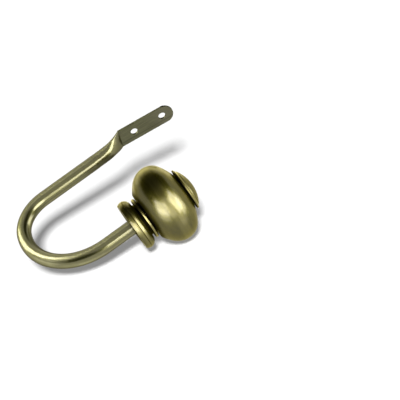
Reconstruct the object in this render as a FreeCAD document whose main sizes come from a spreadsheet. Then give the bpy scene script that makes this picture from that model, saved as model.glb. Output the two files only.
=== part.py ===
import FreeCAD, Part
import math
import os
import Sketcher

# Curtain holdback: a tube bent to a U, pressed flat at its wall end and closed by a turned finial.
# Frame as fixed to a wall: X runs along the wall, +Y into it and +Z up. The origin lies midway
# between the two screw holes, on the face of the plate that meets the wall.
# The U lies level, with its bend at the left, its plate on the wall and its finial out in the room.

# Ways that an outline can curve, points of a sketched curve, and the sketch's own origin point
LEFT = 1
RIGHT = -1
START = 1
END = 2
CENTRE = 3
ORIGIN = (-1, 1)
FULL_TURN = 360

# Driving sizes in millimetres, and in degrees where the name ends in turn or lean
SIZES = {
    # Bent tube, along its centre line
    "tube_diameter": 10.4,
    "tube_wall": 0.7,
    "leg_spacing": 74.6,
    "tight_radius": 27.0,
    "tight_turn": 75.0,
    "back_leg_length": 44.0,
    "front_leg_length": 20.9,
    "arm_lean": 9.0,
    # Pressed end and plate
    "pressed_length": 24.0,
    "crease_lean": 10.0,
    "screw_inset": 11.0,
    "screw_spacing": 22.5,
    "screw_hole": 5.4,
    "tip_margin": 8.4,
    # Collar, measured along the finial's axis from its flat back face
    "socket_depth": 6.0,
    "collar_back_diameter": 34.8,
    "collar_diameter": 37.0,
    "collar_front_diameter": 28.6,
    "collar_band": 3.6,
    "collar_bead": 4.6,
    "collar_seam": 0.3,
    "band_radius": 7.0,
    "bead_radius": 5.6,
    # Neck between the collar and the knob
    "neck_diameter": 24.0,
    "collar_gap": 1.4,
    "ring_diameter": 31.0,
    "ring_width": 2.4,
    "ring_round": 1.25,
    "knob_gap": 0.8,
    "knob_dish": 1.4,
    # Knob: an oval drawn from two rolls beside its widest circle
    "knob_diameter": 57.0,
    "knob_back_depth": 20.3,
    "knob_front_depth": 16.8,
    "back_roll": 15.0,
    "front_roll": 12.0,
    "knob_mouth": 35.0,
    "cap_seat": 26.5,
    # End cap
    "cap_neck": 24.4,
    "cap_gap": 0.9,
    "rim_diameter": 31.0,
    "rim_width": 0.9,
    "cove_width": 1.5,
    "cove_radius": 3.2,
    "dome_ledge": 0.3,
    "dome_diameter": 26.0,
    "dome_height": 3.6,
    # Stud and plug
    "stud_diameter": 5.0,
    "stud_engagement": 12.0,
    "cap_engagement": 4.0,
    "plug_length": 14.0,
    "fit_clearance": 0.1,
}

doc = FreeCAD.newDocument("curtain_holdback")
sheet = doc.addObject("Spreadsheet::Sheet", "Sizes")
for row, (alias, number) in enumerate(SIZES.items(), start=1):
    sheet.set("A%d" % row, alias)
    sheet.set("B%d" % row, str(number))
    sheet.setAlias("B%d" % row, alias)
doc.recompute()


def cell(alias):
    """Name of a size's cell, for use in an expression."""
    return "Sizes." + alias


def half(alias):
    """Expression for half a size, such as a radius from a diameter."""
    return "(Sizes.%s / 2)" % alias


def total(*terms):
    """Expression for a sum."""
    return "(" + " + ".join(terms) + ")"


def value(expression):
    """Number that an expression has now."""
    result = sheet.evalExpression(expression)
    return float(getattr(result, "Value", result))


def new_body(label):
    """Empty body whose label names its piece."""
    body = doc.addObject("PartDesign::Body", label)
    body.Label = label
    return body


def new_sketch(body, name, role, offset=None):
    """Sketch on one of the body's own origin planes, moved along its normal by an expression."""
    sketch = body.newObject("Sketcher::SketchObject", name)
    plane = next(item for item in body.Origin.OriginFeatures if item.Role == role)
    sketch.AttachmentSupport = [(plane, "")]
    sketch.MapMode = "FlatFace"
    if offset:
        sketch.setExpression("AttachmentOffset.Base.z", offset)
    return sketch


def pin(sketch, kind, geometry, point, expression):
    """Tie one coordinate of a point to an expression."""
    number = value(expression)
    index = sketch.addConstraint(Sketcher.Constraint(kind, *ORIGIN, geometry, point, number))
    sketch.setExpression("Constraints[%d]" % index, expression)


def add_circle(sketch, across, up, diameter):
    """Circle with its centre and diameter tied to expressions."""
    centre = FreeCAD.Vector(value(across), value(up), 0)
    circle = Part.Circle(centre, FreeCAD.Vector(0, 0, 1), value(diameter) / 2)
    geometry = sketch.addGeometry(circle)
    pin(sketch, "DistanceX", geometry, CENTRE, across)
    pin(sketch, "DistanceY", geometry, CENTRE, up)
    index = sketch.addConstraint(Sketcher.Constraint("Diameter", geometry, value(diameter)))
    sketch.setExpression("Constraints[%d]" % index, diameter)


def arc_geometry(start, end, radius, turn):
    """Arc under a half circle from start to end that curves to the left or the right."""
    chord = end - start
    rise = math.sqrt(max(radius ** 2 - (chord.Length / 2) ** 2, 0.0))
    side = FreeCAD.Vector(-chord.y, chord.x, 0).normalize() * turn
    centre = start + chord / 2 + side * rise
    first, last = (start, end) if turn == LEFT else (end, start)
    angles = [math.atan2(point.y - centre.y, point.x - centre.x) for point in (first, last)]
    if angles[1] < angles[0]:
        angles[1] += 2 * math.pi
    circle = Part.Circle(centre, FreeCAD.Vector(0, 0, 1), radius)
    return Part.ArcOfCircle(circle, angles[0], angles[1])


def add_outline(sketch, corners, closed=True):
    """Chain of lines and arcs through corners, with every corner and radius tied to an expression.

    A corner is (across, up), reached by a line, or (across, up, radius, turn), reached by an arc.
    """
    points = [FreeCAD.Vector(value(corner[0]), value(corner[1]), 0) for corner in corners]
    chain = []
    for number, corner in enumerate(corners):
        if number == 0 and not closed:
            continue
        start, end = points[number - 1], points[number]
        if len(corner) == 2:
            geometry = sketch.addGeometry(Part.LineSegment(start, end))
            chain.append((geometry, START, END, corner))
        else:
            radius, turn = corner[2:]
            geometry = sketch.addGeometry(arc_geometry(start, end, value(radius), turn))
            ends = (START, END) if turn == LEFT else (END, START)
            chain.append((geometry, *ends, corner))
            index = sketch.addConstraint(Sketcher.Constraint("Radius", geometry, value(radius)))
            sketch.setExpression("Constraints[%d]" % index, radius)
    for number, (geometry, _, tail, corner) in enumerate(chain):
        pin(sketch, "DistanceX", geometry, tail, corner[0])
        pin(sketch, "DistanceY", geometry, tail, corner[1])
        if number == len(chain) - 1 and not closed:
            continue
        follower, head = chain[(number + 1) % len(chain)][:2]
        sketch.addConstraint(Sketcher.Constraint("Coincident", geometry, tail, follower, head))
    if not closed:
        geometry, head = chain[0][:2]
        pin(sketch, "DistanceX", geometry, head, corners[0][0])
        pin(sketch, "DistanceY", geometry, head, corners[0][1])


def through_pocket(body, sketch, name):
    """Pocket both ways through a body; it has to take material away."""
    doc.recompute()
    before = body.Shape.Volume
    pocket = body.newObject("PartDesign::Pocket", name)
    pocket.Profile = sketch
    pocket.Type = "ThroughAll"
    pocket.SideType = "Symmetric"
    doc.recompute()
    if body.Shape.Volume >= before:
        raise RuntimeError(name + " cuts nothing")


# Shared expressions
TUBE_RADIUS = half("tube_diameter")
BORE_RADIUS = "(%s - Sizes.tube_wall)" % TUBE_RADIUS
PLATE_THICKNESS = "(2 * Sizes.tube_wall)"
PLATE_FLAT = "(pi / 2 * (Sizes.tube_diameter - %s))" % PLATE_THICKNESS
PLATE_WIDTH = total(PLATE_FLAT, PLATE_THICKNESS)
CREASE_X = "(-Sizes.screw_spacing / 2 - Sizes.screw_inset)"
TIP_X = total(half("screw_spacing"), cell("tip_margin"))
CREASE_SLOPE = "tan(Sizes.crease_lean)"

# Leg frame: its origin is where the back leg's axis would reach the crease, X runs along the legs
# from the bend to their ends and Y towards the wall
TURN_COS = "cos(Sizes.tight_turn)"
TURN_SIN = "sin(Sizes.tight_turn)"
WIDE_RADIUS = "((Sizes.leg_spacing - Sizes.tight_radius * (1 - %s)) / (1 + %s))" % (TURN_COS, TURN_COS)
BEND_X = "(-Sizes.pressed_length - Sizes.back_leg_length)"
BEND_END_X = "(%s + (%s - Sizes.tight_radius) * %s)" % (BEND_X, WIDE_RADIUS, TURN_SIN)
FINIAL_X = total(BEND_END_X, cell("front_leg_length"))
ROOT_Y = "(-%s)" % TUBE_RADIUS


def placed_on_leg(along, across):
    """Placement expression of a point in the leg frame, turned with the legs."""
    lean = cell("arm_lean")
    place_x = "%s + (%s) * cos(%s) - (%s) * sin(%s)" % (CREASE_X, along, lean, across, lean)
    place_y = "%s + (%s) * sin(%s) + (%s) * cos(%s)" % (ROOT_Y, along, lean, across, lean)
    return "placement(vector(%s; %s; 0); rotation(vector(0; 0; 1); %s))" % (place_x, place_y, lean)


FINIAL_PLACE = placed_on_leg(FINIAL_X, "-Sizes.leg_spacing")


# Bent tube: a tight bend by the back leg runs on into a wide one by the front leg
def make_tube():
    """Round part of the arm, from the pressed end to the collar's socket."""
    body = new_body("bent_tube")
    path = new_sketch(body, "tube_path", "XY_Plane")
    joint_x = "(%s - Sizes.tight_radius * %s)" % (BEND_X, TURN_SIN)
    joint_y = "(-Sizes.tight_radius * (1 - %s))" % TURN_COS
    end_x = total(FINIAL_X, cell("socket_depth"))
    add_outline(path, [
        ("-Sizes.pressed_length", "0"),
        (BEND_X, "0"),
        (joint_x, joint_y, cell("tight_radius"), LEFT),
        (BEND_END_X, "-Sizes.leg_spacing", WIDE_RADIUS, LEFT),
        (end_x, "-Sizes.leg_spacing"),
    ], closed=False)
    section = new_sketch(body, "tube_section", "YZ_Plane", "-Sizes.pressed_length")
    add_circle(section, "0", "0", cell("tube_diameter"))
    add_circle(section, "0", "0", "2 * " + BORE_RADIUS)
    doc.recompute()
    pipe = body.newObject("PartDesign::AdditivePipe", "tube_sweep")
    pipe.Profile = section
    pipe.Spine = path
    body.setExpression("Placement", placed_on_leg("0", "0"))
    return body


# Plate: the tube's end pressed shut, with round edges, a round tip, two screw holes and a crease
# that leans, so that its lower end is nearer to the bend
def make_plate():
    """Flat part of the arm, which lies on the wall."""
    body = new_body("plate")
    start_x = "(%s - %s * %s)" % (CREASE_X, PLATE_WIDTH, CREASE_SLOPE)
    section = new_sketch(body, "plate_section", "YZ_Plane", start_x)
    edge = cell("tube_wall")
    top = "(%s / 2)" % PLATE_FLAT
    add_outline(section, [
        ("0", top),
        ("-" + edge, total(top, edge), edge, LEFT),
        ("-" + PLATE_THICKNESS, top, edge, LEFT),
        ("-" + PLATE_THICKNESS, "-" + top),
        ("-" + edge, "-" + total(top, edge), edge, LEFT),
        ("0", "-" + top, edge, LEFT),
    ])
    doc.recompute()
    pad = body.newObject("PartDesign::Pad", "plate_strip")
    pad.Profile = section
    pad.setExpression("Length", "%s - %s" % (TIP_X, start_x))

    round_x = "(%s - %s / 2)" % (TIP_X, PLATE_WIDTH)
    round_z = "(%s / 2)" % PLATE_WIDTH
    past_x = total(TIP_X, PLATE_THICKNESS)
    past_z = total(round_z, PLATE_THICKNESS)
    behind_x = "(%s - %s)" % (start_x, PLATE_THICKNESS)
    crease = new_sketch(body, "crease_outline", "XZ_Plane")
    add_outline(crease, [
        ("%s + %s * %s" % (CREASE_X, past_z, CREASE_SLOPE), past_z),
        (behind_x, past_z),
        (behind_x, "-" + past_z),
        ("%s - %s * %s" % (CREASE_X, past_z, CREASE_SLOPE), "-" + past_z),
    ])
    through_pocket(body, crease, "leaning_crease")

    tip = new_sketch(body, "tip_outline", "XZ_Plane")
    add_outline(tip, [
        (round_x, "-" + round_z),
        (TIP_X, "0", round_z, LEFT),
        (round_x, round_z, round_z, LEFT),
        (round_x, past_z),
        (past_x, past_z),
        (past_x, "-" + past_z),
        (round_x, "-" + past_z),
    ])
    through_pocket(body, tip, "round_tip")

    holes = new_sketch(body, "screw_holes", "XZ_Plane")
    for place in (half("screw_spacing"), "-" + half("screw_spacing")):
        add_circle(holes, place, "0", cell("screw_hole"))
    through_pocket(body, holes, "screw_holes_cut")
    return body


# Pressed end: the tube's girth stays the same while its section goes from a circle to a flat slot.
# Each section is an oval of four tangent arcs. Its two faces take the share of the girth that ends
# up flat, its two edges take the rest, and the angle that a face spans falls from round to zero,
# slowly by the tube and fast by the crease. The sections lean more and more, as the crease does.
OUTER_STATIONS = (0.0, 0.4, 0.75, 1.0)
BORE_STATIONS = (0.0, 0.4, 0.75, 0.95)
PRESS_POWER = 3


def oval_wire(station, inset):
    """Section of the pressed end, from 0 at the round tube to 1 at the crease, less a wall."""
    tube_radius = value(TUBE_RADIUS)
    edge_share = value(PLATE_THICKNESS) / (2 * tube_radius) * math.pi / 2
    face_share = math.pi / 2 - edge_share
    half_span = face_share * (1 - station ** PRESS_POWER)
    edge_radius = tube_radius * edge_share / (math.pi / 2 - half_span)
    if half_span > 0:
        face_radius = tube_radius * face_share / half_span
        depth = face_radius - (face_radius - edge_radius) * math.cos(half_span)
        edge_centre = (face_radius - edge_radius) * math.sin(half_span)
    else:
        depth = edge_radius
        edge_centre = tube_radius * face_share
    reach = edge_radius - inset
    joint = FreeCAD.Vector(reach * math.cos(half_span), edge_centre + reach * math.sin(half_span), 0)

    lean = math.radians(value(cell("arm_lean")))
    length = value(cell("pressed_length"))
    crease = FreeCAD.Vector(value(CREASE_X), 0, 0)
    root = FreeCAD.Vector(value(CREASE_X), value(ROOT_Y), 0)
    leg = FreeCAD.Vector(math.cos(lean), math.sin(lean), 0)
    tube_back = root - leg * length + FreeCAD.Vector(-leg.y, leg.x, 0) * tube_radius
    section_lean = lean * (1 - station)
    towards_wall = FreeCAD.Vector(-math.sin(section_lean), math.cos(section_lean), 0)
    centre = tube_back + (crease - tube_back) * station - towards_wall * depth

    def spot(thick, wide):
        return centre + towards_wall * thick + FreeCAD.Vector(0, 0, wide)

    def span(first, middle, last):
        if half_span > 0 or first[1] * last[1] > 0:
            return Part.Arc(spot(*first), spot(*middle), spot(*last)).toShape()
        return Part.LineSegment(spot(*first), spot(*last)).toShape()

    face = depth - inset
    crown = edge_centre + reach
    oval = Part.Wire([
        span((joint.x, -joint.y), (face, 0), (joint.x, joint.y)),
        span((joint.x, joint.y), (0, crown), (-joint.x, joint.y)),
        span((-joint.x, joint.y), (-face, 0), (-joint.x, -joint.y)),
        span((-joint.x, -joint.y), (0, -crown), (joint.x, -joint.y)),
    ])
    leaning = FreeCAD.Matrix()
    leaning.A13 = value(CREASE_SLOPE) * station ** 2
    return Part.Wire(oval.transformGeometry(leaning).Edges)


def make_pressed_end():
    """Tapering end of the tube with its walls closing on each other."""
    outer = Part.makeLoft([oval_wire(station, 0.0) for station in OUTER_STATIONS], True)
    wall = value(cell("tube_wall"))
    bore = Part.makeLoft([oval_wire(station, wall) for station in BORE_STATIONS], True)
    feature = doc.addObject("Part::Feature", "pressed_end")
    feature.Shape = outer.cut(bore)
    return feature


def make_arm():
    """Tube, pressed end and plate as the one piece that they are."""
    arm = doc.addObject("Part::MultiFuse", "arm")
    arm.Shapes = [make_tube(), make_pressed_end(), make_plate()]
    arm.Refine = True
    arm.Label = "arm"
    return arm


# Finial: turned pieces on one axis, drawn with X along the axis from the collar's back face
COLLAR_FRONT = total(cell("collar_band"), cell("collar_bead"))
RING_BACK = total(COLLAR_FRONT, cell("collar_gap"))
RING_FRONT = total(RING_BACK, cell("ring_width"))
KNOB_BACK = total(RING_FRONT, cell("knob_gap"))
STUD_HOLE = total(half("stud_diameter"), cell("fit_clearance"))


def oval_side_radius(depth, roll):
    """Radius of the arc, centred on the axis, that runs tangent into a knob's roll."""
    tall = half("knob_diameter")
    square = "(%s ^ 2 + Sizes.%s ^ 2 - 2 * %s * Sizes.%s)" % (tall, depth, tall, roll)
    return "(%s / (2 * (Sizes.%s - Sizes.%s)))" % (square, depth, roll)


def oval_joint(depth, roll, side_radius):
    """Distance along the axis from the knob's widest circle to the tangent point, and its radius."""
    ratio = "(Sizes.%s / (%s - Sizes.%s))" % (roll, side_radius, roll)
    along = "((%s - Sizes.%s) * %s)" % (side_radius, depth, ratio)
    lift = "((%s - Sizes.%s) * (1 + %s))" % (half("knob_diameter"), roll, ratio)
    return along, lift


def turned_piece(label, corners):
    """Piece turned from an outline whose corners are (along the axis, radius)."""
    body = new_body(label)
    sketch = new_sketch(body, label + "_outline", "XY_Plane")
    add_outline(sketch, corners)
    doc.recompute()
    revolution = body.newObject("PartDesign::Revolution", label + "_turning")
    revolution.Profile = sketch
    revolution.ReferenceAxis = (sketch, ["H_Axis"])
    revolution.Angle = FULL_TURN
    body.setExpression("Placement", FINIAL_PLACE)
    return body


def make_collar():
    """Collar with a flat back, a flared band, a fine seam, a bead and a socket for the tube."""
    socket = total(TUBE_RADIUS, cell("fit_clearance"))
    seam = "(%s - Sizes.collar_seam)" % half("collar_diameter")
    seam_start = "(Sizes.collar_band - Sizes.collar_seam)"
    seam_end = total(cell("collar_band"), cell("collar_seam"))
    return turned_piece("collar", [
        ("0", socket),
        (cell("socket_depth"), socket),
        (cell("socket_depth"), STUD_HOLE),
        (RING_BACK, STUD_HOLE),
        (RING_BACK, half("neck_diameter")),
        (COLLAR_FRONT, half("neck_diameter")),
        (COLLAR_FRONT, half("collar_front_diameter")),
        (seam_end, half("collar_diameter"), cell("bead_radius"), LEFT),
        (cell("collar_band"), seam),
        (seam_start, half("collar_diameter")),
        ("0", half("collar_back_diameter"), cell("band_radius"), LEFT),
    ])


def make_neck_ring():
    """Thin ring with a rounded rim."""
    shoulder = "(%s - Sizes.ring_round)" % half("ring_diameter")
    middle = total(RING_BACK, half("ring_width"))
    rim_arc = "((%s ^ 2 + Sizes.ring_round ^ 2) / (2 * Sizes.ring_round))" % half("ring_width")
    return turned_piece("neck_ring", [
        (RING_BACK, STUD_HOLE),
        (RING_FRONT, STUD_HOLE),
        (RING_FRONT, shoulder),
        (middle, half("ring_diameter"), rim_arc, LEFT),
        (RING_BACK, shoulder, rim_arc, LEFT),
    ])


# Knob: its back oval starts at the mouth behind the ring, and its front oval ends at the cap's seat
BACK_SIDE = oval_side_radius("knob_back_depth", "back_roll")
FRONT_SIDE = oval_side_radius("knob_front_depth", "front_roll")
MOUTH_SAG = "sqrt(%s ^ 2 - %s ^ 2)" % (BACK_SIDE, half("knob_mouth"))
WIDEST = "(%s + %s - %s + Sizes.knob_back_depth)" % (KNOB_BACK, MOUTH_SAG, BACK_SIDE)
SEAT_SAG = "sqrt(%s ^ 2 - %s ^ 2)" % (FRONT_SIDE, half("cap_seat"))
CAP_BACK = "(%s - %s + Sizes.knob_front_depth + %s)" % (WIDEST, FRONT_SIDE, SEAT_SAG)


def make_knob():
    """Squashed ball with a dished back round a short neck and a flat seat for the cap."""
    back_along, back_lift = oval_joint("knob_back_depth", "back_roll", BACK_SIDE)
    front_along, front_lift = oval_joint("knob_front_depth", "front_roll", FRONT_SIDE)
    dish = total(KNOB_BACK, cell("knob_dish"))
    return turned_piece("knob", [
        (RING_FRONT, STUD_HOLE),
        (CAP_BACK, STUD_HOLE),
        (CAP_BACK, half("cap_seat")),
        ("%s + %s" % (WIDEST, front_along), front_lift, FRONT_SIDE, LEFT),
        (WIDEST, half("knob_diameter"), cell("front_roll"), LEFT),
        ("%s - %s" % (WIDEST, back_along), back_lift, cell("back_roll"), LEFT),
        (KNOB_BACK, half("knob_mouth"), BACK_SIDE, LEFT),
        (dish, half("neck_diameter")),
        (RING_FRONT, half("neck_diameter")),
    ])


def make_end_cap():
    """Cap with a thin rim, a cove and a dome, tapped from behind for the stud."""
    rim_back = total(CAP_BACK, cell("cap_gap"))
    rim_front = total(rim_back, cell("rim_width"))
    cove_end = total(rim_front, cell("cove_width"))
    dome_base = total(cove_end, cell("dome_ledge"))
    apex = total(dome_base, cell("dome_height"))
    dome_radius = "((%s ^ 2 + Sizes.dome_height ^ 2) / (2 * Sizes.dome_height))" % half("dome_diameter")
    hole_end = total(CAP_BACK, cell("cap_engagement"))
    return turned_piece("end_cap", [
        (CAP_BACK, half("stud_diameter")),
        (hole_end, half("stud_diameter")),
        (hole_end, "0"),
        (apex, "0"),
        (dome_base, half("dome_diameter"), dome_radius, LEFT),
        (cove_end, total(half("dome_diameter"), cell("dome_ledge"))),
        (rim_front, half("rim_diameter"), cell("cove_radius"), RIGHT),
        (rim_back, half("rim_diameter")),
        (rim_back, half("cap_neck")),
        (CAP_BACK, half("cap_neck")),
    ])


def make_end_plug():
    """Tapped plug pressed into the tube's end, flush with it."""
    back = "(Sizes.socket_depth - Sizes.plug_length)"
    return turned_piece("end_plug", [
        (back, half("stud_diameter")),
        (cell("socket_depth"), half("stud_diameter")),
        (cell("socket_depth"), BORE_RADIUS),
        (back, BORE_RADIUS),
    ])


def make_finial_stud():
    """Stud from the plug to the end cap, which clamps the finial to the tube."""
    back = "(Sizes.socket_depth - Sizes.stud_engagement)"
    front = total(CAP_BACK, cell("cap_engagement"))
    return turned_piece("finial_stud", [
        (back, "0"),
        (front, "0"),
        (front, half("stud_diameter")),
        (back, half("stud_diameter")),
    ])


pieces = [
    make_arm(),
    make_end_plug(),
    make_collar(),
    make_neck_ring(),
    make_knob(),
    make_end_cap(),
    make_finial_stud(),
]
doc.recompute()

for item in doc.Objects:
    if "Invalid" in item.State or "Error" in item.State:
        raise RuntimeError("%s failed: %s" % (item.Label, item.State))
for piece in pieces:
    if piece.Shape.isNull() or not piece.Shape.isValid() or len(piece.Shape.Solids) != 1:
        raise RuntimeError(piece.Label + " has no sound solid")

os.makedirs("parts", exist_ok=True)
for piece in pieces:
    piece.Shape.exportStep("parts/%s.step" % piece.Label)
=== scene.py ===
import logging
import math
from dataclasses import dataclass, field
from enum import Enum
from typing import Any, Dict, List, Optional, Sequence, Tuple, Union

import bpy
from mathutils import Matrix, Vector


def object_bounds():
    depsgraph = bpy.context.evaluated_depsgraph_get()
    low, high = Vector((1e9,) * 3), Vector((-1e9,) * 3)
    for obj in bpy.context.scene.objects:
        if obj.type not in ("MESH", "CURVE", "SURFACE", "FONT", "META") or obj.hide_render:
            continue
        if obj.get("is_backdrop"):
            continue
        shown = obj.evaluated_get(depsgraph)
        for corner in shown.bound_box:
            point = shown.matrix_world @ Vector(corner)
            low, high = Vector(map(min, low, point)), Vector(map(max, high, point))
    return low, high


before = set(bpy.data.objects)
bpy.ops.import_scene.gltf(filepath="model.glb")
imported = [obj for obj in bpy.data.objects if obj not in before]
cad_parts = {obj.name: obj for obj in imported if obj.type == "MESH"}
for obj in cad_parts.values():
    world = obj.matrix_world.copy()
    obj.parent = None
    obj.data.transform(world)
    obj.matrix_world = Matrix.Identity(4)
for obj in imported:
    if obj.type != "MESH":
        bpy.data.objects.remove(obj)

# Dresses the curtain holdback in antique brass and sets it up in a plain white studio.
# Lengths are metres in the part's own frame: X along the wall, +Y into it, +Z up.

LOG = logging.getLogger("holdback")
MM = 0.001
WHITE = (1.0, 1.0, 1.0, 1.0)
NOISE_MIDDLE = 0.5
# Sockets of a Mix node by number, because those for numbers and for colours have the same names.
MIX_SHARE = 0
MIX_NUMBERS = (2, 3)
MIX_COLOURS = (6, 7)
MIX_COLOUR_OUT = 2

Colour = Tuple[float, float, float, float]
Term = Union["Wire", float]
Tint = Union["Wire", Colour]


def srgb(red: int, green: int, blue: int) -> Colour:
    """Turns a colour as a screen shows it into the linear colour that Blender mixes.

    Args:
        red: Red from 0 to 255.
        green: Green from 0 to 255.
        blue: Blue from 0 to 255.

    Returns:
        The linear colour, opaque.
    """
    def linear(level: int) -> float:
        """Linear share of one level."""
        share = level / 255
        return share / 12.92 if share <= 0.04045 else ((share + 0.055) / 1.055) ** 2.4

    return linear(red), linear(green), linear(blue), 1.0


class Wire:
    """A value on its way through a node tree, written as Python arithmetic."""

    def __init__(self, book: "NodeBook", socket: bpy.types.NodeSocket) -> None:
        """Keeps the socket that the value leaves by, and the book that it is in."""
        self.book = book
        self.socket = socket

    def __add__(self, other: Term) -> "Wire":
        """Sum."""
        return self.book.maths("ADD", self, other)

    __radd__ = __add__

    def __sub__(self, other: Term) -> "Wire":
        """Difference."""
        return self.book.maths("SUBTRACT", self, other)

    def __rsub__(self, other: Term) -> "Wire":
        """Difference from a number."""
        return self.book.maths("SUBTRACT", other, self)

    def __mul__(self, other: Term) -> "Wire":
        """Product."""
        return self.book.maths("MULTIPLY", self, other)

    __rmul__ = __mul__

    def __gt__(self, other: Term) -> "Wire":
        """1 where this is the larger, otherwise 0."""
        return self.book.maths("GREATER_THAN", self, other)

    def rise(self, low: float, high: float) -> "Wire":
        """Smooth step.

        Args:
            low: Value up to which the step is 0.
            high: Value from which the step is 1.

        Returns:
            The step.
        """
        return self.book.wire(
            "ShaderNodeMapRange",
            {"interpolation_type": "SMOOTHSTEP"},
            {"Value": self, "From Min": low, "From Max": high},
        )

    def swap(self, off: Term, on: Term) -> "Wire":
        """Blend of two values, with this as the share of the second."""
        first, second = MIX_NUMBERS
        sockets = {MIX_SHARE: self, first: off, second: on}
        return self.book.wire("ShaderNodeMix", {"data_type": "FLOAT"}, sockets)


class NodeBook:
    """The nodes of one material or world."""

    def __init__(self, tree: bpy.types.NodeTree) -> None:
        """Starts from an empty tree."""
        self.tree = tree
        tree.nodes.clear()

    def node(
        self,
        kind: str,
        settings: Optional[Dict[str, Any]] = None,
        inputs: Optional[Dict[Union[str, int], Any]] = None,
    ) -> bpy.types.Node:
        """Adds a node.

        Args:
            kind: Blender's name for the node's type.
            settings: Properties to set first.
            inputs: Values or wires by the name or number of their socket.

        Returns:
            The node.
        """
        made = self.tree.nodes.new(kind)
        for name, setting in (settings or {}).items():
            setattr(made, name, setting)
        for key, given in (inputs or {}).items():
            socket = made.inputs[key]
            if isinstance(given, Wire):
                self.tree.links.new(given.socket, socket)
            else:
                socket.default_value = given
        return made

    def wire(
        self,
        kind: str,
        settings: Optional[Dict[str, Any]] = None,
        inputs: Optional[Dict[Union[str, int], Any]] = None,
        output: Union[str, int] = 0,
    ) -> Wire:
        """Adds a node and takes one of its outputs.

        Args:
            kind: Blender's name for the node's type.
            settings: Properties to set first.
            inputs: Values or wires by socket.
            output: Name or number of the output.

        Returns:
            The output as a wire.
        """
        return Wire(self, self.node(kind, settings, inputs).outputs[output])

    def maths(self, operation: str, *terms: Term) -> Wire:
        """Value worked out from other values by a Math node."""
        return self.wire("ShaderNodeMath", {"operation": operation}, dict(enumerate(terms)))

    def vector(self, x: Term, y: Term, z: Term) -> Wire:
        """Vector put together from three values."""
        return self.wire("ShaderNodeCombineXYZ", None, {0: x, 1: y, 2: z})

    def parts(self, vector: Wire) -> List[Wire]:
        """X, Y and Z of a vector."""
        made = self.node("ShaderNodeSeparateXYZ", None, {0: vector})
        return [Wire(self, socket) for socket in made.outputs]

    def noise(self, vector: Wire, scale: float, detail: float = 2.0, rough: float = 0.5) -> Wire:
        """Noise about a half.

        Args:
            vector: Where on the surface.
            scale: Waves to one unit of the vector.
            detail: Finer octaves.
            rough: Strength of the finer octaves.

        Returns:
            The noise from 0 to 1.
        """
        sockets = {"Vector": vector, "Scale": scale, "Detail": detail, "Roughness": rough}
        return self.wire("ShaderNodeTexNoise", {"noise_dimensions": "3D"}, sockets)

    def blend(self, share: Term, first: Tint, second: Tint) -> Wire:
        """Blend of two colours.

        Args:
            share: Share of the second colour.
            first: Colour or wire.
            second: Colour or wire.

        Returns:
            The blended colour.
        """
        start, end = MIX_COLOURS
        sockets = {MIX_SHARE: share, start: first, end: second}
        return self.wire("ShaderNodeMix", {"data_type": "RGBA"}, sockets, MIX_COLOUR_OUT)

    def bump(self, strength: float, height: float, profile: Wire) -> Wire:
        """Normal of a relief.

        Args:
            strength: Strength of the relief.
            height: Height where the profile is 1.
            profile: The relief's profile.

        Returns:
            The normal.
        """
        sockets = {"Strength": strength, "Distance": height, "Height": profile}
        return self.wire("ShaderNodeBump", None, sockets)

    def mixed(self, share: Wire, first: Wire, second: Wire) -> Wire:
        """Mix of two shaders, with a share of the second."""
        return self.wire("ShaderNodeMixShader", None, {0: share, 1: first, 2: second})

    def surface(self, shader: Wire) -> None:
        """Makes a shader the material's surface."""
        self.node("ShaderNodeOutputMaterial", None, {"Surface": shader})


@dataclass
class Coordinates:
    """Where a point lies on a worked surface, in metres.

    Attributes:
        across: Distance over the hairlines.
        along: Distance along the hairlines.
        place: The point in the part's frame.
        radius: Distance from the axis of a turned piece.
        axial: Distance along the axis of a turned piece.
        flat: 1 on the arm's plate, 0 on its tube.
        fold: Distance past the arm's crease, towards the plate's tip.
    """

    across: Wire
    along: Wire
    place: Wire
    radius: Optional[Wire] = None
    axial: Optional[Wire] = None
    flat: Optional[Wire] = None
    fold: Optional[Wire] = None

    def lines(self, over: float, stretch: float, detail: float = 2.0, rough: float = 0.5) -> Wire:
        """Noise drawn out into lines.

        Args:
            over: Waves to a metre over the lines.
            stretch: Waves to a metre along the lines.
            detail: Finer octaves.
            rough: Strength of the finer octaves.

        Returns:
            The noise from 0 to 1.
        """
        book = self.across.book
        drawn = book.vector(self.across * over, self.along * stretch, 0.0)
        return book.noise(drawn, 1.0, detail, rough)


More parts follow.
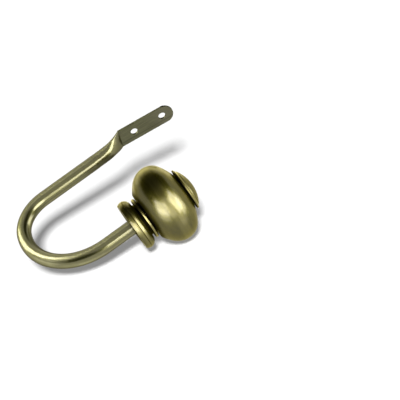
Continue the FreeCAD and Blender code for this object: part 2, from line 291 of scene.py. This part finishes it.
@dataclass(frozen=True)
class PlatePatinaAndShade:
    """Dull patina of the pressed plate, streaked along it, and painted shade that darkens it towards
    its tip.

    Cover is the patina's share on the plate. pressed_painted_shade is the share of painted shade on
    the tube at the crease, from where it fades over pressed_shade_reach; tip_shade_range and
    tip_shade_share lay the painted shade towards the tip. The plate lacks the share film_lost of the
    brass's clear film.
    """

    colour: Colour = srgb(94, 96, 66)
    stain: Colour = srgb(62, 62, 40)
    cover: float = 0.85
    pressed_painted_shade: float = 0.5
    pressed_shade_reach: float = 6.0 * MM
    streaks: float = 900.0
    streak_stretch: float = 70.0
    streak_range: Tuple[float, float] = (0.3, 0.7)
    streak_share: float = 0.75
    tip_shade_range: Tuple[float, float] = (12.0 * MM, 38.0 * MM)
    tip_shade_share: float = 0.9
    film_lost: float = 0.5

    def over(self, book: NodeBook, at: Coordinates, tone: Wire) -> Wire:
        """Lays the patina over a tone.

        Args:
            book: Book of the material.
            at: Coordinates of the arm.
            tone: Colour of the bare brass.

        Returns:
            The colour with the patina on the plate and painted shade towards its tip, and painted
            shade on the pressed end beside it.
        """
        streaks = at.lines(self.streaks, self.streak_stretch, detail=4.0, rough=0.65)
        stain = streaks.rise(*self.streak_range) * self.streak_share
        # Painted shade, darker towards the plate's tip.
        stain = stain + at.fold.rise(*self.tip_shade_range) * self.tip_shade_share
        # Painted shade on the pressed end beside the crease.
        pressed = at.fold.rise(-self.pressed_shade_reach, 0.0) * self.pressed_painted_shade
        cover = book.maths("MAXIMUM", at.flat * self.cover, pressed)
        return book.blend(cover, tone, book.blend(stain, self.colour, self.stain))


@dataclass(frozen=True)
class BrassFinish:
    """Antique brass under a thin clear film, with hairlines left by the brush or the lathe.

    Shade is the colour of mottles and specks, and worn_and_highlight that of hairlines and of rims
    worn bright, partly by real wear and partly as a painted highlight; edge tints the brass at
    grazing angles. seam_and_shade_colour darkens dark seams and the painted shade of creases, grooves
    and gaps. Film is the film's share of what is reflected. Grain scales the lines, their relief and
    the unevenness of the roughness.
    """

    name: str
    tone: Colour
    shade: Colour
    worn_and_highlight: Colour
    edge: Colour
    roughness: float
    film: float
    film_roughness: float
    film_colour: Colour = (1.0, 0.92, 0.86, 1.0)
    # Near-black of dark seams and of painted shade in creases, grooves and gaps.
    seam_and_shade_colour: Colour = srgb(22, 19, 8)
    # Patina of the plate, with painted shade on the pressed end and towards the tip.
    plate_patina_and_shade: PlatePatinaAndShade = PlatePatinaAndShade()
    grain: float = 1.0

    # Waves to a metre: over hairlines and bands, along them, and of spots.
    hairs: float = 5200.0
    hair_stretch: float = 90.0
    bands: float = 900.0
    band_stretch: float = 36.0
    mottles: float = 95.0
    specks: float = 2600.0

    # How far they change the tone, and how evenly the rims' wear and painted highlight do.
    hair_level: float = 0.4
    hair_share: float = 0.35
    band_share: float = 0.3
    mottle_range: Tuple[float, float] = (0.35, 0.75)
    mottle_share: float = 0.55
    speck_range: Tuple[float, float] = (0.66, 0.8)
    speck_share: float = 0.25
    wear_evenness: float = 0.5

    # How far they, the dark seams and painted shade, and the rims' wear and painted highlight change
    # the roughness.
    hair_rough: float = 0.06
    mottle_rough: float = 0.1
    seam_and_shade_rough: float = 0.2
    wear_polish: float = 0.06

    # Relief of the lines.
    hair_height: float = 0.012 * MM
    relief: float = 0.4
    band_relief: float = 0.15

    def grained(self, book: NodeBook, at: Coordinates, hair: Wire, band: Wire, mottle: Wire) -> Wire:
        """Works out the colour of the bare brass.

        Args:
            book: Book of the material.
            at: Coordinates of the surface.
            hair: Noise of the hairlines.
            band: Noise of the broader lines.
            mottle: Noise of the mottles.

        Returns:
            The colour.
        """
        tone = book.blend(mottle.rise(*self.mottle_range) * self.mottle_share, self.tone, self.shade)
        lines = (hair - self.hair_level) * self.hair_share + (band - NOISE_MIDDLE) * self.band_share
        tone = book.blend(lines * self.grain, tone, self.worn_and_highlight)
        speck = book.noise(at.place, self.specks, detail=1.0).rise(*self.speck_range)
        return book.blend(speck * self.speck_share, tone, self.shade)

    def material(
        self, book: NodeBook, at: Coordinates, seam_and_painted_shade: Wire, wear_and_highlight: Optional[Wire] = None
    ) -> None:
        """Lays the finish's nodes in a book.

        Args:
            book: Book of the material.
            at: Coordinates of the surface.
            seam_and_painted_shade: Share left dark, by dark seams and by painted shade.
            wear_and_highlight: Share of rims worn bright, partly real wear and partly a painted
                highlight, if any.
        """
        hair = at.lines(self.hairs, self.hair_stretch)
        band = at.lines(self.bands, self.band_stretch, detail=3.0)
        mottle = book.noise(at.place, self.mottles, detail=4.0, rough=0.6)
        tone = self.grained(book, at, hair, band, mottle)
        uneven = (hair - NOISE_MIDDLE) * self.hair_rough + (mottle - NOISE_MIDDLE) * self.mottle_rough
        rough = self.roughness + uneven * self.grain
        # The film's reflection goes where dark seams and painted shade darken the brass.
        film = self.film * (1 - seam_and_painted_shade)
        # Rims worn bright: partly real wear, partly a painted highlight.
        if wear_and_highlight is not None:
            even = self.wear_evenness
            tone = book.blend(wear_and_highlight * (even + mottle * (1 - even)), tone, self.worn_and_highlight)
            rough = rough - wear_and_highlight * self.wear_polish
        # Patina on the plate, and painted shade on the pressed end and towards the plate's tip.
        if at.flat is not None:
            tone = self.plate_patina_and_shade.over(book, at, tone)
            film = film * (1 - at.flat * self.plate_patina_and_shade.film_lost)
        profile = hair + band * self.band_relief
        bump = book.bump(self.relief * self.grain, self.hair_height, profile)
        brass = book.wire(
            "ShaderNodeBsdfPrincipled",
            None,
            {
                # Dark seams and painted shade darken the base colour.
                "Base Color": book.blend(seam_and_painted_shade, tone, self.seam_and_shade_colour),
                "Roughness": rough + seam_and_painted_shade * self.seam_and_shade_rough,
                "Metallic": 1.0,
                "Specular Tint": self.edge,
                "Normal": bump,
            },
        )
        gloss = book.wire(
            "ShaderNodeBsdfGlossy",
            None,
            {"Color": self.film_colour, "Roughness": self.film_roughness, "Normal": bump},
        )
        book.surface(book.mixed(film, brass, gloss))


@dataclass(frozen=True)
class SteelFinish:
    """Bright plated steel of the stud and plug inside the finial, cloudy and finely turned."""

    name: str = "plated_steel"
    tone: Colour = srgb(176, 178, 180)
    shade: Colour = srgb(132, 134, 138)
    roughness: float = 0.34
    clouds: float = 380.0
    cloud_range: Tuple[float, float] = (0.35, 0.7)
    turning: float = 2400.0
    turning_stretch: float = 60.0
    turning_rough: float = 0.15
    turning_height: float = 0.01 * MM
    relief: float = 0.4

    def material(self, book: NodeBook, at: Coordinates) -> None:
        """Lays the finish's nodes in a book.

        Args:
            book: Book of the material.
            at: Coordinates of the surface.
        """
        cloud = book.noise(at.place, self.clouds, detail=3.0).rise(*self.cloud_range)
        turned = at.lines(self.turning, self.turning_stretch)
        steel = book.wire(
            "ShaderNodeBsdfPrincipled",
            None,
            {
                "Base Color": book.blend(cloud, self.tone, self.shade),
                "Roughness": self.roughness + (turned - NOISE_MIDDLE) * self.turning_rough,
                "Metallic": 1.0,
                "Normal": book.bump(self.relief, self.turning_height, turned),
            },
        )
        book.surface(steel)


def new_book(name: str) -> Tuple[bpy.types.Material, NodeBook]:
    """Makes an empty material.

    Args:
        name: The material's name.

    Returns:
        The material and the book of its nodes.
    """
    material = bpy.data.materials.new(name)
    material.use_nodes = True
    return material, NodeBook(material.node_tree)


def dress_solid(node: str, material: bpy.types.Material) -> None:
    """Gives a solid of the frame its finish.

    Args:
        node: Name of the solid.
        material: Finish for all its faces.
    """
    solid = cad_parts[node]
    for number in range(len(solid.data.materials)):
        solid.data.materials[number] = material
    LOG.info("%s dressed in %s", node, material.name)


@dataclass
class Arm:
    """Tube bent to a U, pressed flat at its wall end.

    The seam is a dark line and the crease a line of painted shade, darkest over their core and gone
    at their reach. Points away from the wall have nowhere_near as their distance past the crease.
    """

    finish: BrassFinish
    tube_radius: float = 5.2 * MM
    leg_spacing: float = 74.6 * MM
    tight_radius: float = 27.0 * MM
    tight_turn: float = math.radians(75)
    back_leg: float = 44.0 * MM
    front_leg: float = 20.9 * MM
    pressed: float = 24.0 * MM
    lean: float = math.radians(9)
    crease: float = -22.25 * MM
    crease_lean: float = math.radians(10)
    crease_blur: float = 0.3 * MM
    seam: float = -4.3 * MM
    line_core: float = 0.1 * MM
    seam_reach: float = 0.5 * MM
    seam_grime: float = 0.4
    # Painted shade along the crease: its reach and its share.
    crease_shade_reach: float = 0.6 * MM
    crease_shade: float = 0.35
    nowhere_near: float = -1.0

    @property
    def wide_radius(self) -> float:
        """Radius of the wide bend by the front leg."""
        fall = math.cos(self.tight_turn)
        return (self.leg_spacing - self.tight_radius * (1 - fall)) / (1 + fall)

    @property
    def bend_start(self) -> float:
        """Distance along the legs at which the tight bend begins."""
        return -self.pressed - self.back_leg

    @property
    def bend_end(self) -> float:
        """Distance along the legs at which the wide bend ends."""
        return self.bend_start + (self.wide_radius - self.tight_radius) * math.sin(self.tight_turn)

    @property
    def leg(self) -> Vector:
        """Direction of the legs, from the bend to their ends."""
        return Vector((math.cos(self.lean), math.sin(self.lean), 0))

    @property
    def root(self) -> Vector:
        """Point from which distances along the legs are measured."""
        return Vector((self.crease, -self.tube_radius, 0))

    @property
    def finial_seat(self) -> Vector:
        """Point of the front leg's axis at which the finial's back face lies."""
        inward = Vector((math.sin(self.lean), -math.cos(self.lean), 0))
        return self.root + self.leg * (self.bend_end + self.front_leg) + inward * self.leg_spacing

    def coordinates(self, book: NodeBook) -> Coordinates:
        """Measures a point of the arm along its bent centre line.

        Args:
            book: Book of the material.

        Returns:
            Coordinates whose hairlines run round the tube, and along the plate.
        """
        place = book.wire("ShaderNodeTexCoord", output="Object")
        x, y, z = book.parts(place)
        far_x, far_y = x - self.root.x, y - self.root.y
        leg_x = far_x * self.leg.x + far_y * self.leg.y
        leg_y = far_y * self.leg.x - far_x * self.leg.y

        tight_angle = book.maths("ARCTAN2", self.bend_start - leg_x, leg_y + self.tight_radius)
        wide_y = self.wide_radius - self.leg_spacing
        wide_angle = book.maths("ARCTAN2", self.bend_end - leg_x, leg_y - wide_y)
        tight_run = self.tight_radius * self.tight_turn
        wide_run = self.wide_radius * (math.pi - self.tight_turn)
        bend = (tight_angle > self.tight_turn).swap(
            tight_angle * self.tight_radius,
            tight_run + (wide_angle - self.tight_turn) * self.wide_radius,
        )
        inner = leg_y > (-self.leg_spacing / 2)
        on_back = inner * (leg_x > self.bend_start)
        on_front = (1 - inner) * (leg_x > self.bend_end)
        run = on_back.swap(bend, self.bend_start - leg_x)
        run = on_front.swap(run, tight_run + wide_run + leg_x - self.bend_end)

        past = x - self.crease - z * math.tan(self.crease_lean)
        near_wall = y > (-2 * self.tube_radius)
        flat = past.rise(-self.crease_blur, self.crease_blur) * near_wall
        fold = near_wall.swap(self.nowhere_near, past)
        return Coordinates(flat.swap(run, z), flat.swap(z, x), place, flat=flat, fold=fold)

    def seam_and_painted_shade(self, book: NodeBook, at: Coordinates) -> Wire:
        """Works out where the plate's seam is dark and where painted shade darkens the crease.

        Args:
            book: Book of the material.
            at: Coordinates of the arm.

        Returns:
            The share left dark by the seam and by painted shade.
        """
        off_seam = book.maths("ABSOLUTE", at.across - self.seam)
        off_fold = book.maths("ABSOLUTE", at.fold)
        seam = (1 - off_seam.rise(self.line_core, self.seam_reach)) * at.flat
        # Painted shade along the crease.
        fold = 1 - off_fold.rise(self.line_core, self.crease_shade_reach)
        return book.maths("MAXIMUM", seam * self.seam_grime, fold * self.crease_shade)

    def dress(self) -> None:
        """Gives the arm its brushed brass."""
        material, book = new_book(self.finish.name)
        at = self.coordinates(book)
        self.finish.material(book, at, self.seam_and_painted_shade(book, at))
        dress_solid("arm", material)


@dataclass(frozen=True)
class TurnedPiece:
    """One turned piece of the finial.

    Attributes:
        node: Name of its solid.
        rim: Radius of the rim, which is worn bright: partly real wear, partly a painted highlight.
        groove_shade_radius: Radius up to which painted shade darkens its groove, if it has one.
        fade: Distances along the axis between which painted shade on its back ends, if it has one.
        rubbed_and_highlight: Share of the rim's wear and painted highlight.
    """

    node: str
    rim: float
    groove_shade_radius: Optional[float]
    fade: Optional[Tuple[float, float]] = None
    rubbed_and_highlight: float = 0.4


@dataclass
class Finial:
    """Turned collar, neck ring, knob and end cap on the stud that holds them.

    A share of the radius, ring_slope, counts as distance over the hairlines, for rings on end faces.
    """

    seat: Vector
    axis: Vector
    finish: BrassFinish
    inside: SteelFinish
    # Groove radii and back spans lay painted shade; rim shares lay rims worn bright, partly as a
    # painted highlight.
    pieces: List[TurnedPiece] = field(default_factory=lambda: [
        TurnedPiece("collar", 18.4 * MM, 12.6 * MM),
        TurnedPiece("neck_ring", 15.4 * MM, 13.0 * MM, rubbed_and_highlight=1.0),
        TurnedPiece("knob", 28.4 * MM, 11.2 * MM, (12.9 * MM, 15.6 * MM)),
        TurnedPiece("end_cap", 14.0 * MM, None, (44.0 * MM, 44.4 * MM), rubbed_and_highlight=1.0),
    ])
    hidden: Sequence[str] = ("end_plug", "finial_stud")
    rim_reach: float = 0.6 * MM
    # How far painted shade reaches out of a groove.
    groove_shade_reach: float = 2.2 * MM
    ring_slope: float = 0.73

    def coordinates(self, book: NodeBook) -> Coordinates:
        """Measures a point along and round the finial's axis.

        Args:
            book: Book of the material.

        Returns:
            Coordinates whose hairlines run round the axis, on end faces too.
        """
        place = book.wire("ShaderNodeTexCoord", output="Object")
        x, y, z = book.parts(place)
        far_x, far_y = x - self.seat.x, y - self.seat.y
        along = far_x * self.axis.x + far_y * self.axis.y
        side = far_y * self.axis.x - far_x * self.axis.y
        radius = book.maths("SQRT", side * side + z * z)
        angle = book.maths("ARCTAN2", z, side)
        across = along + radius * self.ring_slope
        return Coordinates(across, angle * radius, place, radius=radius, axial=along)

    def seam_and_painted_shade(self, book: NodeBook, at: Coordinates, piece: TurnedPiece) -> Wire:
        """Works out where painted shade darkens a piece, in its groove and on its back.

        Args:
            book: Book of the material.
            at: Coordinates of the piece.
            piece: The piece.

        Returns:
            The share darkened by painted shade.
        """
        shares = []
        if piece.groove_shade_radius is not None:
            # Painted shade in the groove.
            shares.append(1 - at.radius.rise(piece.groove_shade_radius, piece.groove_shade_radius + self.groove_shade_reach))
        if piece.fade is not None:
            # Painted shade on the piece's back.
            shares.append(1 - at.axial.rise(*piece.fade))
        return shares[0] if len(shares) == 1 else book.maths("MAXIMUM", *shares)

    def dress(self) -> None:
        """Gives every piece of the finial its finish."""
        for piece in self.pieces:
            material, book = new_book("%s_%s" % (self.finish.name, piece.node))
            at = self.coordinates(book)
            # Rims worn bright: partly real wear, partly a painted highlight.
            wear_and_highlight = at.radius.rise(piece.rim - self.rim_reach, piece.rim) * piece.rubbed_and_highlight
            self.finish.material(book, at, self.seam_and_painted_shade(book, at, piece), wear_and_highlight)
            dress_solid(piece.node, material)
        material, book = new_book(self.inside.name)
        self.inside.material(book, self.coordinates(book))
        for node in self.hidden:
            dress_solid(node, material)


class Lit(Enum):
    """Which part of the holdback a softbox is aimed at."""

    ARM = ("arm",)
    FINIAL = ("collar", "neck_ring", "knob", "end_cap", "end_plug", "finial_stud")


@dataclass(frozen=True)
class Softbox:
    """A flat soft lamp that lights one part of the holdback.

    Attributes:
        name: The lamp's name.
        lit: The part that it lights.
        azimuth: Degrees round from the room's side, to the right.
        elevation: Degrees above level.
        width: Width of its face.
        height: Height of its face.
        glow: Brightness of its face.
        distance: Distance from the middle of the holdback.
    """

    name: str
    lit: Lit
    azimuth: float
    elevation: float
    width: float
    height: float
    glow: float
    distance: float = 0.9


def facing(direction: Vector) -> Matrix:
    """Turn that points an object's own Z along a direction."""
    return direction.to_track_quat("Z", "Y").to_matrix().to_4x4()


def gathered(name: str, things: Sequence[bpy.types.Object]) -> bpy.types.Collection:
    """Gathers objects, for lamps to light or to be shaded by.

    Args:
        name: The collection's name.
        things: The objects.

    Returns:
        The collection.
    """
    made = bpy.data.collections.new(name)
    for thing in things:
        made.objects.link(thing)
    return made


def heading(azimuth: float, elevation: float) -> Vector:
    """Direction in the part's frame.

    Args:
        azimuth: Degrees round from the room's side, to the right.
        elevation: Degrees above level.

    Returns:
        The direction as a unit vector.
    """
    turn, lift = math.radians(azimuth), math.radians(elevation)
    level = math.cos(lift)
    return Vector((math.sin(turn) * level, -math.cos(turn) * level, math.sin(lift)))


@dataclass
class Studio:
    """Floor, ceiling, lamps, surroundings and camera, whose angles are in degrees."""

    centre: Vector
    camera_azimuth: float = 3.335
    camera_elevation: float = 45.035
    camera_roll: float = -31.811
    camera_aim: Vector = field(default_factory=lambda: Vector((5.6, -51.45, -41.633)) * MM)
    camera_distance: float = 1.4
    lens: float = 179.48
    floor_point: Vector = field(default_factory=lambda: Vector((-15.0, -79.3, -36.6)) * MM)
    floor_normal: Vector = field(default_factory=lambda: Vector((0.165, 0.44, 1.0)))
    floor_size: float = 6.0
    floor_colour: Colour = (0.43, 0.43, 0.43, 1.0)
    floor_glow: float = 0.24
    ceiling_size: float = 10.0
    ceiling_height: float = 1.9
    ceiling_colour: Colour = (0.01, 0.01, 0.008, 1.0)
    ambient: Colour = (0.06, 0.06, 0.06, 1.0)
    sun_travel: Vector = field(default_factory=lambda: Vector((-0.093, 0.735, -1.0)))
    sun_strength: float = 15.4
    sun_angle: float = math.radians(7)
    softboxes: Sequence[Softbox] = (
        Softbox("knob_left", Lit.FINIAL, -37.5, 26.5, 0.78, 0.64, 8.3),
        Softbox("knob_left_low", Lit.FINIAL, -44, 8, 0.7, 0.6, 3.1),
        Softbox("knob_right", Lit.FINIAL, 53, 22, 0.75, 0.85, 9.6),
        Softbox("knob_right_low", Lit.FINIAL, 69, 1.5, 0.6, 0.6, 6.7),
        Softbox("knob_low", Lit.FINIAL, 2, 14, 0.6, 0.45, 2.3),
        Softbox("knob_front", Lit.FINIAL, 3, 40, 0.5, 0.5, 1.9),
        Softbox("knob_right_under", Lit.FINIAL, 34, -20, 0.6, 0.5, 1.0),
        Softbox("knob_rim", Lit.FINIAL, 182, -13, 1.3, 0.65, 2.3),
        Softbox("arm_front", Lit.ARM, 33, 24, 0.7, 0.62, 8.4),
        Softbox("arm_low", Lit.ARM, -22, -47, 0.65, 0.65, 0.8),
        Softbox("arm_right", Lit.ARM, 88, -2, 0.6, 0.6, 4.4),
        Softbox("arm_wall", Lit.ARM, 185, 20, 0.7, 0.6, 1.2),
        Softbox("arm_ceiling", Lit.ARM, 190, 58, 0.9, 0.7, 0.6),
        Softbox("arm_back_high", Lit.ARM, 215, 62, 0.6, 0.5, 0.9),
        Softbox("arm_back", Lit.ARM, 226, 34, 0.42, 0.8, 8.0),
        Softbox("arm_side", Lit.ARM, 250, -2, 1.2, 0.9, 0.6),
        Softbox("arm_left_high", Lit.ARM, 255, 50, 0.6, 0.6, 1.5),
        Softbox("arm_left", Lit.ARM, 275, 20, 0.7, 0.7, 0.8),
        Softbox("arm_left_low", Lit.ARM, 300, -30, 0.8, 0.8, 0.4),
        Softbox("arm_top", Lit.ARM, 20, 75, 0.7, 0.7, 0.8),
    )

    @staticmethod
    def add(name: str, data: bpy.types.ID, matrix: Matrix) -> bpy.types.Object:
        """Puts an object in the scene.

        Args:
            name: The object's name.
            data: Its mesh, lamp or camera.
            matrix: Where it stands.

        Returns:
            The object.
        """
        thing = bpy.data.objects.new(name, data)
        thing.matrix_world = matrix
        bpy.context.scene.collection.objects.link(thing)
        return thing

    @staticmethod
    def sheet(name: str, size: float) -> bpy.types.Mesh:
        """Makes a square sheet about its own middle.

        Args:
            name: The mesh's name.
            size: Length of a side.

        Returns:
            The mesh.
        """
        half = size / 2
        corners = [(-half, -half, 0), (half, -half, 0), (half, half, 0), (-half, half, 0)]
        mesh = bpy.data.meshes.new(name)
        mesh.from_pydata(corners, [], [(0, 1, 2, 3)])
        return mesh

    @staticmethod
    def seen(book: NodeBook) -> Wire:
        """1 for the rays by which the camera, metal and glass see a surface, otherwise 0."""
        rays = book.node("ShaderNodeLightPath").outputs
        camera = Wire(book, rays["Is Camera Ray"])
        glossy = Wire(book, rays["Is Glossy Ray"])
        through = Wire(book, rays["Is Transmission Ray"])
        return book.maths("MAXIMUM", book.maths("MAXIMUM", camera, glossy), through)

    def ceiling(self) -> None:
        """Hangs the dark ceiling that shows in the tops of the pieces and shades nothing."""
        mesh = self.sheet("ceiling", self.ceiling_size)
        spot = Vector((self.centre.x, self.centre.y, self.ceiling_height))
        ceiling = self.add("ceiling", mesh, Matrix.Translation(spot))
        ceiling.visible_camera = False
        ceiling.visible_diffuse = False
        ceiling.visible_shadow = False
        material, book = new_book("ceiling_dark")
        book.surface(book.wire("ShaderNodeBsdfDiffuse", None, {"Color": self.ceiling_colour}))
        mesh.materials.append(material)
        ceiling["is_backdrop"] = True
        LOG.info("ceiling hung")

    def floor(self) -> bpy.types.Object:
        """Lays the white floor, which takes the shadow and can't be seen from below.

        Returns:
            The floor.
        """
        mesh = self.sheet("floor", self.floor_size)
        spot = Matrix.Translation(self.floor_point)
        floor = self.add("floor", mesh, spot @ facing(self.floor_normal))
        material, book = new_book("floor_white")
        paint = book.wire("ShaderNodeBsdfDiffuse", None, {"Color": self.floor_colour})
        glow = book.wire("ShaderNodeEmission")
        lit = book.mixed(self.seen(book) * self.floor_glow, paint, glow)
        clear = book.wire("ShaderNodeBsdfTransparent")
        under = book.wire("ShaderNodeNewGeometry", output="Backfacing")
        book.surface(book.mixed(under, lit, clear))
        mesh.materials.append(material)
        floor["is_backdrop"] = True
        LOG.info("floor laid")
        return floor

    def overhead(self, floor: bpy.types.Object) -> None:
        """Hangs the lamp that throws the holdback's shadow.

        Args:
            floor: The floor, which alone takes the lamp's light.
        """
        sun = bpy.data.lights.new("overhead", "SUN")
        sun.energy = self.sun_strength
        sun.angle = self.sun_angle
        spot = Matrix.Translation(self.centre)
        lamp = self.add("overhead", sun, spot @ facing(-self.sun_travel))
        lamp.visible_glossy = False
        lamp.light_linking.receiver_collection = gathered("lit_floor", [floor])
        LOG.info("overhead lamp hung")

    def lamps(self) -> None:
        """Hangs the softboxes, each for the arm or the finial and shaded by the holdback alone."""
        solids = {lit: [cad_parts[node] for node in lit.value] for lit in Lit}
        aimed = {lit: gathered("lit_" + lit.name.lower(), solids[lit]) for lit in Lit}
        holdback = gathered("holdback", solids[Lit.ARM] + solids[Lit.FINIAL])
        for box in self.softboxes:
            lamp = bpy.data.lights.new(box.name, "AREA")
            lamp.shape = "RECTANGLE"
            lamp.size = box.width
            lamp.size_y = box.height
            lamp.energy = box.glow * math.pi * box.width * box.height
            towards = heading(box.azimuth, box.elevation)
            spot = Matrix.Translation(self.centre + towards * box.distance)
            linking = self.add(box.name, lamp, spot @ facing(towards)).light_linking
            linking.receiver_collection = aimed[box.lit]
            linking.blocker_collection = holdback
        LOG.info("%d softboxes hung", len(self.softboxes))

    def surroundings(self) -> None:
        """Makes a white background that the metal shows too."""
        world = bpy.data.worlds.new("studio")
        world.use_nodes = True
        bpy.context.scene.world = world
        book = NodeBook(world.node_tree)
        dim, white = (
            book.wire("ShaderNodeBackground", None, {"Color": colour, "Strength": 1.0})
            for colour in (self.ambient, WHITE)
        )
        sky = book.mixed(self.seen(book), dim, white)
        book.node("ShaderNodeOutputWorld", None, {"Surface": sky})
        LOG.info("surroundings made")

    def camera(self) -> None:
        """Stands the camera where the photograph was taken from."""
        back = heading(self.camera_azimuth, self.camera_elevation)
        level = Vector((0, 0, 1)).cross(back).normalized()
        roll = math.radians(self.camera_roll)
        right = level * math.cos(roll) + back.cross(level) * math.sin(roll)
        matrix = Matrix((right, back.cross(right), back)).transposed().to_4x4()
        matrix.translation = self.camera_aim + back * self.camera_distance
        lens = bpy.data.cameras.new("camera")
        lens.lens = self.lens
        bpy.context.scene.camera = self.add("camera", lens, matrix)
        LOG.info("camera stood")

    def build(self) -> None:
        """Makes the whole studio."""
        bpy.context.scene.view_settings.view_transform = "Standard"
        self.overhead(self.floor())
        self.lamps()
        self.ceiling()
        self.surroundings()
        self.camera()


def main() -> None:
    """Dresses the holdback and builds the studio round it."""
    logging.basicConfig(level=logging.INFO, format="%(message)s")
    solid_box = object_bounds()

    arm = Arm(BrassFinish(
        name="brushed_brass",
        tone=srgb(95, 94, 48),
        shade=srgb(77, 75, 35),
        worn_and_highlight=srgb(140, 136, 98),
        edge=(0.3, 0.29, 0.2, 1.0),
        roughness=0.3,
        film=0.066,
        film_roughness=0.17,
        hair_height=0.0006 * MM,
        grain=0.9,
    ))
    arm.dress()
    finial = Finial(
        seat=arm.finial_seat,
        axis=arm.leg,
        finish=BrassFinish(
            name="turned_brass",
            tone=srgb(65, 62, 2),
            shade=srgb(54, 51, 2),
            worn_and_highlight=srgb(124, 117, 62),
            edge=(0.86, 0.79, 0.46, 1.0),
            roughness=0.38,
            film=0.046,
            film_roughness=0.22,
        ),
        inside=SteelFinish(),
    )
    finial.dress()
    Studio(centre=(solid_box[0] + solid_box[1]) / 2).build()


if __name__ == "__main__":
    main()
